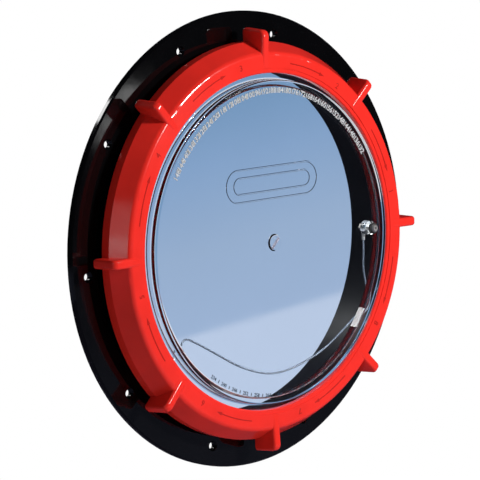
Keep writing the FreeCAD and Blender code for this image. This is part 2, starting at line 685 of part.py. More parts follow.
def make_screw(label, radius, angle, head_seat, tail_height):
    """Socket screw, head forward, with its shank down to the tail height."""
    body = new_body(label)
    head_top = "%s + sizes.head_height" % head_seat
    section = section_sketch(body, label + "_section", radius, angle)
    outline(section, [
        ("0", tail_height),
        ("sizes.shank_radius", tail_height),
        ("sizes.shank_radius", head_seat),
        ("sizes.head_radius", head_seat),
        ("sizes.head_radius", head_top),
        ("0", head_top),
    ])
    revolve(body, label + "_turned", section)
    bevel_ring(body, label + "_head_edge", "sizes.head_bevel", "sizes.head_radius", head_top)
    socket = front_sketch(body, label + "_socket_plan", head_top, radius, angle)
    hexagon(socket, "sizes.socket_radius")
    pocket(body, label + "_socket", socket, "sizes.socket_depth")
    return body


def make_washer(label, radius, angle, outer_radius, back, front):
    body = new_body(label)
    section = section_sketch(body, label + "_section", radius, angle)
    outline(section, [(CLEAR_SHANK, back), (outer_radius, back), (outer_radius, front), (CLEAR_SHANK, front)])
    revolve(body, label + "_disc", section)
    return body


def make_nut(label, radius, angle, back):
    body = new_body(label)
    plan = front_sketch(body, label + "_plan", back, radius, angle)
    hexagon(plan, "sizes.nut_corner_radius")
    pad(body, label + "_hexagon", plan, "sizes.nut_height")
    bore = front_sketch(body, label + "_bore_plan", "%s + sizes.nut_height" % back, radius, angle)
    circle(bore, CLEAR_SHANK)
    pocket(body, label + "_bore", bore, "sizes.nut_height")
    return body


def part_cylinder(name, radius, length, centre, turn_axis, turn):
    """Cylinder from a centre given by three expressions, turned about one axis of the frame."""
    cylinder = doc.addObject("Part::Cylinder", name)
    cylinder.setExpression("Radius", radius)
    cylinder.setExpression("Height", length)
    cylinder.Placement = FreeCAD.Placement(FreeCAD.Vector(), FreeCAD.Rotation(turn_axis, value(turn)))
    cylinder.setExpression("Placement.Base.x", centre[0])
    cylinder.setExpression("Placement.Base.y", centre[1])
    cylinder.setExpression("Placement.Base.z", centre[2])
    cylinder.setExpression("Placement.Rotation.Angle", turn)
    return cylinder


def make_eye(label, radius, angle, back, front, barrel_height, barrel_angle):
    """Crimped terminal: a flat eye square to the hatch axis, and a barrel that leaves it sideways."""
    eye_x = across(radius, angle)
    eye_z = upward(radius, angle)
    start = "(sizes.eye_radius - sizes.barrel_overlap)"
    barrel_x = "%s + %s" % (eye_x, across(start, barrel_angle))
    barrel_z = "%s + %s" % (eye_z, upward(start, barrel_angle))
    thickness = "(%s) - (%s)" % (front, back)
    eye_centre = (eye_x, "-(%s)" % back, eye_z)
    barrel_centre = (barrel_x, "-(%s)" % barrel_height, barrel_z)
    side_axis = FreeCAD.Vector(1, 0, 0)
    upright_axis = FreeCAD.Vector(0, 1, 0)
    flat = part_cylinder(label + "_flat", "sizes.eye_radius", thickness, eye_centre, side_axis, "90")
    barrel = part_cylinder(label + "_barrel", "sizes.barrel_radius", "sizes.barrel_length",
                           barrel_centre, upright_axis, "90 - (%s)" % barrel_angle)
    joined = doc.addObject("Part::Fuse", label + "_joined")
    joined.Base = flat
    joined.Tool = barrel
    hole = part_cylinder(label + "_hole", CLEAR_SHANK, thickness, eye_centre, side_axis, "90")
    eye = doc.addObject("Part::Cut", label + "_cut")
    eye.Base = joined
    eye.Tool = hole
    eye.Label = label
    doc.recompute()
    return eye


def line_points():
    """The lanyard's route with both ends set on the ends of the two barrels."""
    lid_end = FreeCAD.Vector(
        value(across(TETHER_RADIUS, "sizes.tether_angle")),
        -value("%s - sizes.barrel_radius - sizes.barrel_standoff" % EYE_ON_LID),
        value("%s - %s" % (upward(TETHER_RADIUS, "sizes.tether_angle"), BARREL_END)))
    frame_end = FreeCAD.Vector(
        value(across("%s - %s" % (EAR_HOLE_RADIUS, BARREL_END), "sizes.ear_angle")),
        -value("sizes.ear_thickness + sizes.barrel_radius + sizes.barrel_standoff"),
        value(upward("%s - %s" % (EAR_HOLE_RADIUS, BARREL_END), "sizes.ear_angle")))
    return [lid_end] + [FreeCAD.Vector(*point) for point in LINE_ROUTE] + [frame_end]


def rounded_path(points):
    """Straight runs joined by tangent arcs, each as large as its two runs allow."""
    share = 0.45
    edges = []
    radii = []
    here = points[0]
    for before, corner, after in zip(points, points[1:], points[2:]):
        incoming = (corner - before).normalize()
        outgoing = (after - corner).normalize()
        half_turn = incoming.getAngle(outgoing) / 2
        setback = share * min((corner - before).Length, (after - corner).Length)
        radius = setback / math.tan(half_turn)
        arc_start = corner - incoming * setback
        arc_end = corner + outgoing * setback
        inward = (outgoing - incoming).normalize()
        arc_middle = corner + inward * (radius / math.cos(half_turn) - radius)
        edges.append(Part.LineSegment(here, arc_start).toShape())
        edges.append(Part.Arc(arc_start, arc_middle, arc_end).toShape())
        radii.append(radius)
        here = arc_end
    edges.append(Part.LineSegment(here, points[-1]).toShape())
    return Part.Wire(edges), radii


def make_lanyard_line():
    """Thin line swept along its route as one tube."""
    radius = value("sizes.line_radius")
    path, radii = rounded_path(line_points())
    start = path.Edges[0]
    direction = start.tangentAt(start.FirstParameter)
    section = Part.Wire([Part.Circle(start.valueAt(start.FirstParameter), direction, radius).toShape()])
    tube = path.makePipeShell([section], True, True)
    line = doc.addObject("Part::Feature", "lanyard_line")
    line.Shape = tube
    line.Label = "lanyard_line"
    expected = math.pi * radius ** 2 * path.Length
    print("lanyard bend radii", [round(bend, 1) for bend in radii])
    print("lanyard length %.1f, volume over section times length %.4f" % (path.Length, tube.Volume / expected))
    return line


def make_tether():
    """Screw, washers, eye and nut that hold the lanyard to the lid."""
    radius = TETHER_RADIUS
    angle = "sizes.tether_angle"
    rubber_front = "(%s + sizes.sealing_washer_thickness)" % LID_FRONT
    eye_back = "(%s - sizes.eye_thickness)" % EYE_ON_LID
    nut_back = "(%s - sizes.nut_height)" % eye_back
    tail = "(%s - sizes.screw_tail)" % nut_back
    barrel_height = "%s - sizes.barrel_radius - sizes.barrel_standoff" % EYE_ON_LID
    return [
        make_screw("tether_screw", radius, angle, rubber_front, tail),
        make_washer("sealing_washer", radius, angle, "sizes.sealing_washer_radius", LID_FRONT, rubber_front),
        make_washer("tether_washer", radius, angle, "sizes.washer_radius", EYE_ON_LID, BOSS_BACK),
        make_eye("lanyard_lid_eye", radius, angle, eye_back, EYE_ON_LID, barrel_height, "-90"),
        make_nut("tether_nut", radius, angle, nut_back),
    ]


def make_anchor():
    """Screw, eye and nut that hold the lanyard to the ear in the bore."""
    radius = EAR_HOLE_RADIUS
    angle = "sizes.ear_angle"
    ear_front = "sizes.ear_thickness"
    eye_front = "(sizes.ear_thickness + sizes.eye_thickness)"
    nut_back = "(-sizes.nut_height)"
    tail = "(%s - sizes.screw_tail)" % nut_back
    barrel_height = "sizes.ear_thickness + sizes.barrel_radius + sizes.barrel_standoff"
    inward = "sizes.ear_angle - 180"
    return [
        make_screw("anchor_screw", radius, angle, eye_front, tail),
        make_eye("lanyard_frame_eye", radius, angle, ear_front, eye_front, barrel_height, inward),
        make_nut("anchor_nut", radius, angle, nut_back),
    ]


def check_document():
    """Stops if any object of the document failed to build."""
    doc.recompute()
    for thing in doc.Objects:
        if "Invalid" in thing.State or "Error" in thing.State:
            raise RuntimeError("%s failed: %s" % (thing.Label, thing.State))


def export_parts(pieces):
    """Writes each sub-part to its own STEP file."""
    os.makedirs("parts", exist_ok=True)
    for piece in pieces:
        shape = piece.Shape
        if shape.isNull() or not shape.isValid() or not shape.Solids:
            raise RuntimeError(piece.Label + " has no valid solid")
        shape.exportStep("parts/%s.step" % piece.Label)
        print("%-20s %d solid %10.1f mm3" % (piece.Label, len(shape.Solids), shape.Volume))


pieces = [make_mounting_frame(), make_locking_ring(), make_clear_lid(), make_lid_seal()]
pieces += make_tether()
pieces += make_anchor()
pieces.append(make_lanyard_line())
check_document()
export_parts(pieces)
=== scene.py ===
import math

import bmesh
import bpy
from bpy.props import FloatProperty, FloatVectorProperty, IntProperty, PointerProperty
from mathutils import Matrix, Vector


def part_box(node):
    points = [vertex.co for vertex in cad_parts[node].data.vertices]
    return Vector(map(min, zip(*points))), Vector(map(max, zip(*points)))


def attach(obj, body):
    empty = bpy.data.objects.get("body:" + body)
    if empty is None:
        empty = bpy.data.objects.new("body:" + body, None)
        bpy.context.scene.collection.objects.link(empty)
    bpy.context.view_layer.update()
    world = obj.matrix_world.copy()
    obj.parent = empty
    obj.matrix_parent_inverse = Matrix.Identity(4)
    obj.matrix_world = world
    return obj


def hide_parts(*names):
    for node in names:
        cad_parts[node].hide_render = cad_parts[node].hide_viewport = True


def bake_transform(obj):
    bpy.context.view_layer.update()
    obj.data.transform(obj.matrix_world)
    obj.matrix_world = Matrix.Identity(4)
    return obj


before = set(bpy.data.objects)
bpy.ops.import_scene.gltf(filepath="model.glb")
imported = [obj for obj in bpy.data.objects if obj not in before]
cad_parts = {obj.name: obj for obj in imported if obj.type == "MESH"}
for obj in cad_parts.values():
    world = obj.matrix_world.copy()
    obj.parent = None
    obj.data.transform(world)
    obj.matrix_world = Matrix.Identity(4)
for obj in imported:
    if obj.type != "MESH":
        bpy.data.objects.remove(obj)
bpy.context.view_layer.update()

bl_info = {
    "name": "Inspection hatch",
    "version": (1, 0, 0),
    "blender": (4, 5, 0),
    "location": "View3D > Sidebar > Hatch",
    "description": "Dresses a screw-down inspection hatch and sets up its studio",
    "category": "Object",
}

# The row frame: metres, +Z up, the hatch axis along Y with its front towards -Y.
# The origin is the centre of the flange's back face. A height is a distance towards the front.
MM = 0.001

# Places read from the fixed frame
LID_LOW, LID_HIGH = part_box("clear_lid")
SCREW_LOW, SCREW_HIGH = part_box("tether_screw")

# The sealing washer lies on the lid's raised middle, so its back gives that face
LID_FRONT = -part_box("sealing_washer")[1].y
LID_RIM_BACK = -LID_HIGH.y
LID_RIM_RADIUS = LID_HIGH.x
TETHER_X = (SCREW_LOW.x + SCREW_HIGH.x) / 2
TETHER_Z = (SCREW_LOW.z + SCREW_HIGH.z) / 2

FLANGE_FRONT = 4.4 * MM

# The ring's lugs, and the angle of the first one in degrees
LUG_COUNT = 8
FIRST_LUG = -0.5

# The picture is square, this many pixels a side
PICTURE_SIDE = 480
SENSOR_WIDTH = 36.0

# Softboxes: name, direction from the hatch, distance, width, height, watts
SOFTBOXES = (
    ("key_softbox", (0.33, -0.88, 0.34), 1.8, 0.22, 0.22, 33.0),
    ("left_softbox", (-0.963, -0.243, 0.03), 1.5, 0.3, 0.2, 0.45),
    ("high_left_softbox", (-0.963, -0.243, 0.24), 1.53, 0.3, 0.42, 0.38),
)
REAR_SOFTBOX = ("rear_softbox", (-0.30, 0.715, 0.63), 1.2, 0.2, 0.2, 1.3)

# Small cards that the flange mirrors: name, pixel where they show, width, height, watts
WINDOW_CARDS = (
    ("upper_window_card", (127, 96), 0.030, 0.022, 0.006),
    ("lower_window_card", (106, 130), 0.017, 0.030, 0.0045),
)
CARD_DISTANCE = 1.0

# The sky behind the lid gets deeper along this direction, between these two levels
SKY_RISE = (-0.18, 0.173, 1.0)
SKY_LEVELS = (-0.180, -0.080)

# What gloss mirrors of the room: its tint, its strength low down and overhead, and the levels between
ROOM_TINT = (0.62, 0.68, 1.0, 1.0)
ROOM_STRENGTHS = (0.17, 0.015)
ROOM_LEVELS = (-0.20, -0.12)
FILL_STRENGTH = 0.10
WHITE = (1.0, 1.0, 1.0, 1.0)

# Tint of the shadow that the clear lid throws, and the dark floor that gloss mirrors
LID_SHADOW_TINT = (0.9, 0.93, 0.97, 1.0)
MIRRORED_FLOOR = (0.10, 0.10, 0.16, 1.0)

# The bore is satin up to the first radius and the flange is polished from the second
SATIN_RADII = (137 * MM, 140 * MM)
SATIN_ROUGHNESS = 0.30

# The lanyard's route, in millimetres, between the ends of its two crimped barrels
LINE_START = (104.99, -23.9, -10.98)
LINE_END = (-76.88, -5.0, -77.69)
LINE_ROUTE = [
    (105.0, -23.9, -18.5),
    (106.3, -21.2, -33.5),
    (110.8, -20.7, -50.5),
    (107.3, -20.9, -64.0),
    (97.5, -21.2, -67.9),
    (83.0, -19.8, -78.6),
    (59.5, -17.2, -93.6),
    (20.5, -11.9, -105.0),
    (-12.0, -8.4, -95.5),
    (-38.0, -5.9, -79.9),
    (-55.0, -5.2, -70.3),
    (-67.1, -5.0, -64.4),
    (-71.7, -5.0, -72.5),
]


def linear(hex_colour):
    """Linear colour with alpha from an sRGB hex value."""
    channels = [int(hex_colour[place:place + 2], 16) / 255 for place in (1, 3, 5)]
    bright = [c / 12.92 if c <= 0.04045 else ((c + 0.055) / 1.055) ** 2.4 for c in channels]
    return (*bright, 1.0)


def colour_property(name, description, hex_colour):
    """Colour that a user may change, given as sRGB hex."""
    return FloatVectorProperty(
        name=name, description=description, default=linear(hex_colour),
        size=4, min=0.0, max=1.0, subtype="COLOR",
    )


def length_property(name, description, default):
    """Length in metres that a user may change."""
    return FloatProperty(
        name=name, description=description, default=default, min=0.0, unit="LENGTH", precision=5,
    )


class HatchSizes(bpy.types.PropertyGroup):
    """Sizes of what the moulder adds to the plain pieces."""

    disc_radius: length_property("Middle", "Radius of the lid's raised middle", 120.0 * MM)
    hollow_radius: length_property("Hollow", "Radius of the hollow behind the middle", 116.0 * MM)
    disc_thickness: length_property("Glazing", "Thickness of the raised middle", 5.5 * MM)
    rim_thickness: length_property("Rim", "Thickness of the clamped rim", 5.1 * MM)
    groove_inner: length_property("Groove inside", "Inner wall of the seal's groove", 130.75 * MM)
    groove_outer: length_property("Groove outside", "Outer wall of the seal's groove", 134.75 * MM)
    groove_depth: length_property("Groove depth", "Depth of the seal's groove", 2.0 * MM)
    moulded_round: length_property("Edge", "Rounding of the lid's edges", 1.3 * MM)
    label_z: length_property("Label up", "Label outlines, above the axis", 44.8 * MM)
    label_length: length_property("Label length", "Outer label outline, end to end", 93.0 * MM)
    label_height: length_property("Label height", "Outer label outline, top to bottom", 23.8 * MM)
    inner_length: length_property("Inner length", "Inner label outline, end to end", 78.0 * MM)
    inner_height: length_property("Inner height", "Inner label outline, top to bottom", 11.9 * MM)
    bead_width: length_property("Bead", "Width of the bead that draws the outlines", 1.2 * MM)
    bead_rise: length_property("Bead rise", "Height of the bead", 0.5 * MM)
    pip_radius: length_property("Pip", "Radius of the sheared gate at its foot", 6.4 * MM)
    pip_top_radius: length_property("Pip top", "Radius of the sheared gate at its top", 5.5 * MM)
    boss_radius: length_property("Boss", "Radius of the boss round the tether screw", 5.5 * MM)
    boss_height: length_property("Boss height", "How far the boss stands back from the middle", 5.0 * MM)
    shank_hole: length_property("Screw hole", "Radius of the hole for the tether screw", 1.65 * MM)
    figure_rise: length_property("Figure rise", "How far moulded figures stand proud", 0.6 * MM)
    figure_radius: length_property("Upper figures", "Axis to the foot of the lid's upper figures", 110.4 * MM)
    low_figure_radius: length_property("Lower figures", "Axis to the foot of the lower figures", 114.4 * MM)
    ring_mark_rise: length_property("Ring marks", "How far the ring's marks stand proud", 0.2 * MM)
    ring_number_radius: length_property("Ring numbers", "Axis to the foot of the ring's numbers", 130.4 * MM)
    ring_arrow_radius: length_property("Ring arrows", "Axis to the middle of the ring's arrows", 132.6 * MM)
    crown_height: length_property("Crown", "Height of the ring's flat crown", 33.6 * MM)
    line_radius: length_property("Line", "Radius of the lanyard line", 0.75 * MM)
    turn_steps: IntProperty(name="Turn steps", description="Steps round a turned piece", default=256, min=24)


class HatchColours(bpy.types.PropertyGroup):
    """Colours of the hatch's materials."""

    red: colour_property("Red", "Locking ring", "#ED2E25")
    # The figures' darker red is painted shade, standing in for the shade inside engraved figures
    worn_red: colour_property("Figures", "Moulded figures on the ring, with grime round them", "#B8221C")
    black: colour_property("Black", "Mounting frame", "#060607")
    clear: colour_property("Lid", "Clear moulding", "#F6FAFC")
    torn: colour_property("Gate", "Sheared gate on the lid", "#B9B4C2")
    # The figures' near white is partly a frosting and partly painted sparkle, for the glints of light off the
    # raised figures
    frosted: colour_property("Figures on the lid", "Frosted figures moulded on the lid", "#EDF1F5")
    rubber: colour_property("Rubber", "Seal and sealing washer", "#121214")
    steel: colour_property("Steel", "Screws, nuts, washers and eyes", "#DEDBD6")
    wire: colour_property("Wire", "Nylon coat of the lanyard", "#5C636E")


class HatchStudio(bpy.types.PropertyGroup):
    """The photographer's set-up, and the sky that shows through the lid."""

    sky_high: colour_property("Sky, high", "Sky through the top of the lid", "#7FA2C9")
    sky_upper: colour_property("Sky, upper", "Sky through the upper part of the lid", "#91AFD6")
    sky_middle: colour_property("Sky, middle", "Sky through the middle of the lid", "#A4BBDB")
    sky_low: colour_property("Sky, low", "Sky just above the horizon", "#A9BFE0")
    sky_haze: colour_property("Haze", "Pale haze below the horizon", "#C9D8F2")

    azimuth: FloatProperty(name="Azimuth", description="Camera's angle round the hatch", default=-43.848)
    elevation: FloatProperty(name="Elevation", description="Camera's angle above the horizon", default=7.4)
    roll: FloatProperty(name="Roll", description="Camera's turn about its own axis", default=-2.10)
    distance: length_property("Distance", "Camera to the centre of the flange", 2.4465)
    lens: FloatProperty(name="Lens", description="Focal length in millimetres", default=246.3)
    shift_x: FloatProperty(
        name="Shift across", description="Camera's shift in frame widths", default=0.66 / PICTURE_SIDE,
    )
    shift_y: FloatProperty(
        name="Shift up", description="Camera's shift in frame widths", default=-0.92 / PICTURE_SIDE,
    )
    floor_drop: length_property("Floor", "Floor, below the hatch's axis", 0.45)
    floor_radius: length_property("Floor radius", "Radius of the floor", 1.3)


def add_node(tree, kind, settings=None, inputs=None, links=None):
    """Adds a node with its settings and input values, and links its inputs to other nodes' outputs."""
    node = tree.nodes.new(kind)
    for name, setting in (settings or {}).items():
        setattr(node, name, setting)
    for name, number in (inputs or {}).items():
        node.inputs[name].default_value = number
    for name, output in (links or {}).items():
        tree.links.new(output, node.inputs[name])
    return node


def new_material(name):
    """Empty node material with an output, and that output's node."""
    material = bpy.data.materials.new(name)
    material.use_nodes = True
    material.node_tree.nodes.clear()
    output = material.node_tree.nodes.new("ShaderNodeOutputMaterial")
    return material, material.node_tree, output


def per_metre(millimetres):
    """Texture scale that repeats a pattern about once in this many millimetres."""
    return 1.0 / (millimetres * MM)


def mottled(tree, coordinates, colour, grain_mm, spread):
    """Colour that drifts a little darker and lighter over patches of the given size."""
    noise = add_node(tree, "ShaderNodeTexNoise", inputs={"Scale": per_metre(grain_mm), "Detail": 3.0},
                     links={"Vector": coordinates})
    ramp = add_node(tree, "ShaderNodeValToRGB", links={"Fac": noise.outputs["Fac"]})
    ramp.color_ramp.elements[0].position = 0.3
    ramp.color_ramp.elements[1].position = 0.7
    ramp.color_ramp.elements[0].color = (*[c * (1 - spread) for c in colour[:3]], 1.0)
    ramp.color_ramp.elements[1].color = (*[min(1.0, c * (1 + spread)) for c in colour[:3]], 1.0)
    return ramp.outputs["Color"]


def uneven_gloss(tree, coordinates, grain_mm, low, high):
    """Roughness that wanders between two values."""
    noise = add_node(tree, "ShaderNodeTexNoise", inputs={"Scale": per_metre(grain_mm), "Detail": 4.0},
                     links={"Vector": coordinates})
    spread = add_node(tree, "ShaderNodeMapRange",
                      inputs={"From Min": 0.3, "From Max": 0.7, "To Min": low, "To Max": high},
                      links={"Value": noise.outputs["Fac"]})
    return spread.outputs["Result"]


def fine_bump(tree, coordinates, grain_mm, depth_mm, strength):
    """Normal of a surface with a fine, shallow texture."""
    noise = add_node(tree, "ShaderNodeTexNoise", inputs={"Scale": per_metre(grain_mm), "Detail": 2.0},
                     links={"Vector": coordinates})
    bump = add_node(tree, "ShaderNodeBump", inputs={"Strength": strength, "Distance": depth_mm * MM},
                    links={"Height": noise.outputs["Fac"]})
    return bump.outputs["Normal"]


def surfaced(name, constants, colour, drift, gloss, skin):
    """Material whose colour drifts, whose gloss wanders and whose skin is textured, each over its own grain.

    drift is (grain, spread), gloss is (grain, low, high) and skin is (grain, depth, strength).
    Grains and depth are in millimetres.
    """
    material, tree, output = new_material(name)
    place = add_node(tree, "ShaderNodeTexCoord").outputs["Object"]
    shader = add_node(
        tree, "ShaderNodeBsdfPrincipled",
        inputs=constants,
        links={
            "Base Color": mottled(tree, place, colour, *drift),
            "Roughness": uneven_gloss(tree, place, *gloss),
            "Normal": fine_bump(tree, place, *skin),
        },
    )
    tree.links.new(shader.outputs["BSDF"], output.inputs["Surface"])
    return material


def moulded_black_asa(colours):
    """ASA moulded in a tool polished for the flange and left satin for the bore.

    The eye gets a deep black, faintly hazed, and no hard mirror image inside the bore.
    """
    material, tree, output = new_material("moulded_black_asa")
    place = add_node(tree, "ShaderNodeTexCoord").outputs["Object"]
    flat = add_node(tree, "ShaderNodeVectorMath", {"operation": "MULTIPLY"}, {1: (1.0, 0.0, 1.0)})
    tree.links.new(place, flat.inputs[0])
    far = add_node(tree, "ShaderNodeVectorMath", {"operation": "LENGTH"})
    tree.links.new(flat.outputs["Vector"], far.inputs[0])
    satin = add_node(tree, "ShaderNodeMapRange",
                     inputs={"From Min": SATIN_RADII[0], "From Max": SATIN_RADII[1],
                             "To Min": SATIN_ROUGHNESS, "To Max": 0.0},
                     links={"Value": far.outputs["Value"]})
    gloss = add_node(tree, "ShaderNodeMath", {"operation": "ADD"})
    tree.links.new(uneven_gloss(tree, place, 18.0, 0.05, 0.09), gloss.inputs[0])
    tree.links.new(satin.outputs["Result"], gloss.inputs[1])
    shader = add_node(
        tree, "ShaderNodeBsdfPrincipled",
        inputs={"IOR": 1.5, "Specular IOR Level": 0.5},
        links={
            "Base Color": mottled(tree, place, colours.black, 35.0, 0.2),
            "Roughness": gloss.outputs[0],
            "Normal": fine_bump(tree, place, 5.0, 0.05, 0.12),
        },
    )
    tree.links.new(shader.outputs["BSDF"], output.inputs["Surface"])
    return material


def moulded_red_asa(name, red):
    """ASA moulded in a satin tool: saturated red whose gloss is slightly uneven, with a fine skin."""
    return surfaced(
        name, {"IOR": 1.5, "Specular IOR Level": 0.5}, red,
        drift=(22.0, 0.05), gloss=(9.0, 0.14, 0.20), skin=(2.0, 0.04, 0.15),
    )


def clear_polycarbonate(colours):
    """Polycarbonate moulded clear and polished on both faces, so what lies behind stays sharp."""
    material, tree, output = new_material("clear_polycarbonate")
    place = add_node(tree, "ShaderNodeTexCoord").outputs["Object"]
    shader = add_node(
        tree, "ShaderNodeBsdfPrincipled",
        inputs={"IOR": 1.585, "Transmission Weight": 1.0},
        links={
            "Base Color": mottled(tree, place, colours.clear, 60.0, 0.01),
            "Roughness": uneven_gloss(tree, place, 25.0, 0.015, 0.03),
        },
    )
    # Shadow rays pass straight through, so that the lamps light the bore behind the lid
    path = add_node(tree, "ShaderNodeLightPath")
    open_way = add_node(tree, "ShaderNodeBsdfTransparent", inputs={"Color": LID_SHADOW_TINT})
    mixed = add_node(tree, "ShaderNodeMixShader", links={"Fac": path.outputs["Is Shadow Ray"]})
    tree.links.new(shader.outputs["BSDF"], mixed.inputs[1])
    tree.links.new(open_way.outputs["BSDF"], mixed.inputs[2])
    tree.links.new(mixed.outputs["Shader"], output.inputs["Surface"])
    return material


def whitened_polycarbonate(name, colour, clearness):
    """The same plastic where it is torn at the gate, or given a frosting on the figures: light scatters in
    it. On the figures it is also whitened as painted sparkle, for the glints off the raised figures.
    """
    return surfaced(
        name, {"IOR": 1.585, "Transmission Weight": clearness}, colour,
        drift=(1.5, 0.2), gloss=(1.0, 0.25, 0.45), skin=(0.9, 0.08, 0.5),
    )


def moulded_rubber(colours):
    """EPDM rubber straight from the mould: dull, slightly bloomed black."""
    return surfaced(
        "moulded_epdm_rubber", {"IOR": 1.52, "Sheen Weight": 0.1}, colours.rubber,
        drift=(4.0, 0.3), gloss=(3.0, 0.55, 0.75), skin=(0.8, 0.05, 0.3),
    )


def turned_stainless(colours):
    """Stainless steel turned on a lathe: bright, with faint tool marks."""
    return surfaced(
        "turned_stainless_steel", {"Metallic": 1.0}, colours.steel,
        drift=(2.0, 0.08), gloss=(0.8, 0.32, 0.46), skin=(0.5, 0.01, 0.2),
    )


def nylon_coated_wire(colours):
    """Stranded wire under a thin extruded nylon coat: satin grey with the strands' lay just felt."""
    return surfaced(
        "nylon_coated_wire", {"IOR": 1.53}, colours.wire,
        drift=(3.0, 0.15), gloss=(2.0, 0.25, 0.4), skin=(0.6, 0.03, 0.3),
    )


def dress(obj, material):
    """Gives every material slot of an object one material."""
    obj.data.materials.clear()
    obj.data.materials.append(material)


def rounded(corners, steps=8):
    """Points of an outline of corners (radius, height), or (radius, height, rounding).

    A point just outside each rounding keeps the flats beside it shading flat.
    """
    points = []
    count = len(corners)
    for index, corner in enumerate(corners):
        here = Vector(corner[:2])
        if len(corner) == 2:
            points.append(here)
            continue
        back = (Vector(corners[index - 1][:2]) - here).normalized()
        ahead = (Vector(corners[(index + 1) % count][:2]) - here).normalized()
        half_angle = back.angle(ahead) / 2
        reach = corner[2] / math.tan(half_angle)
        centre = here + (back + ahead).normalized() * (corner[2] / math.sin(half_angle))
        first = here + back * reach - centre
        turn = first.angle_signed(here + ahead * reach - centre)
        points.append(here + back * reach * 1.1)
        for step in range(steps + 1):
            points.append(centre + Matrix.Rotation(-turn * step / steps, 2) @ first)
        points.append(here + ahead * reach * 1.1)
    return points


def turned(name, corners, steps):
    """Solid turned about the hatch axis from an outline that starts and ends on the axis."""
    outline = rounded(corners)
    mesh = bpy.data.meshes.new(name)
    shape = bmesh.new()
    rings = []
    for point in outline:
        if point.x < 1e-9:
            rings.append([shape.verts.new((0, -point.y, 0))])
            continue
        ring = []
        for step in range(steps):
            angle = 2 * math.pi * step / steps
            across, up = point.x * math.cos(angle), point.x * math.sin(angle)
            ring.append(shape.verts.new((across, -point.y, up)))
        rings.append(ring)
    for lower, upper in zip(rings, rings[1:]):
        for step in range(steps):
            after = (step + 1) % steps
            corner_set = [lower[step % len(lower)], upper[step % len(upper)],
                          upper[after % len(upper)], lower[after % len(lower)]]
            shape.faces.new(list(dict.fromkeys(corner_set)))
    bmesh.ops.recalc_face_normals(shape, faces=shape.faces)
    shape.to_mesh(mesh)
    shape.free()
    obj = bpy.data.objects.new(name, mesh)
    bpy.context.scene.collection.objects.link(obj)
    return obj


def smooth_shading(obj, sharp_degrees=20.0):
    """Smooth faces with edges kept crisp above an angle."""
    obj.data.polygons.foreach_set("use_smooth", [True] * len(obj.data.polygons))
    obj.data.set_sharp_from_angle(angle=math.radians(sharp_degrees))


def combine(obj, other, operation):
    """Adds another mesh to this one, or takes it out of it, and removes the other."""
    modifier = obj.modifiers.new("combine", "BOOLEAN")
    modifier.operation = operation
    modifier.solver = "EXACT"
    modifier.object = other
    result = bpy.data.meshes.new_from_object(obj.evaluated_get(bpy.context.evaluated_depsgraph_get()))
    obj.modifiers.clear()
    obj.data = result
    bpy.data.objects.remove(other)


def stadium(centre_z, length, height, inset, count=24):
    """Points round a slot with round ends on the hatch's middle line, set in from its full size."""
    radius = height / 2 - inset
    half_run = (length - height) / 2
    points = []
    for side, start in ((1, -math.pi / 2), (-1, math.pi / 2)):
        for step in range(count + 1):
            angle = start + math.pi * step / count
            points.append((side * half_run + radius * math.cos(angle), centre_z + radius * math.sin(angle)))
    return points


def prism(name, loops, hollow=False):
    """Closed mesh through loops given as (height, points).

    It is capped at both ends, or its last loop is joined to its first when hollow.
    """
    mesh = bpy.data.meshes.new(name)
    shape = bmesh.new()
    rings = [[shape.verts.new((x, -height, z)) for x, z in points] for height, points in loops]
    count = len(rings[0])
    for lower, upper in zip(rings, rings[1:] + rings[:1] if hollow else rings[1:]):
        for step in range(count):
            after = (step + 1) % count
            shape.faces.new((lower[step], lower[after], upper[after], upper[step]))
    if not hollow:
        shape.faces.new(rings[0])
        shape.faces.new(rings[-1])
    bmesh.ops.recalc_face_normals(shape, faces=shape.faces)
    shape.to_mesh(mesh)
    shape.free()
    obj = bpy.data.objects.new(name, mesh)
    bpy.context.scene.collection.objects.link(obj)
    return obj


def circle_points(centre_x, centre_z, radius, count=32):
    """Points round a circle on a front face."""
    turns = [2 * math.pi * step / count for step in range(count)]
    return [(centre_x + radius * math.cos(turn), centre_z + radius * math.sin(turn)) for turn in turns]


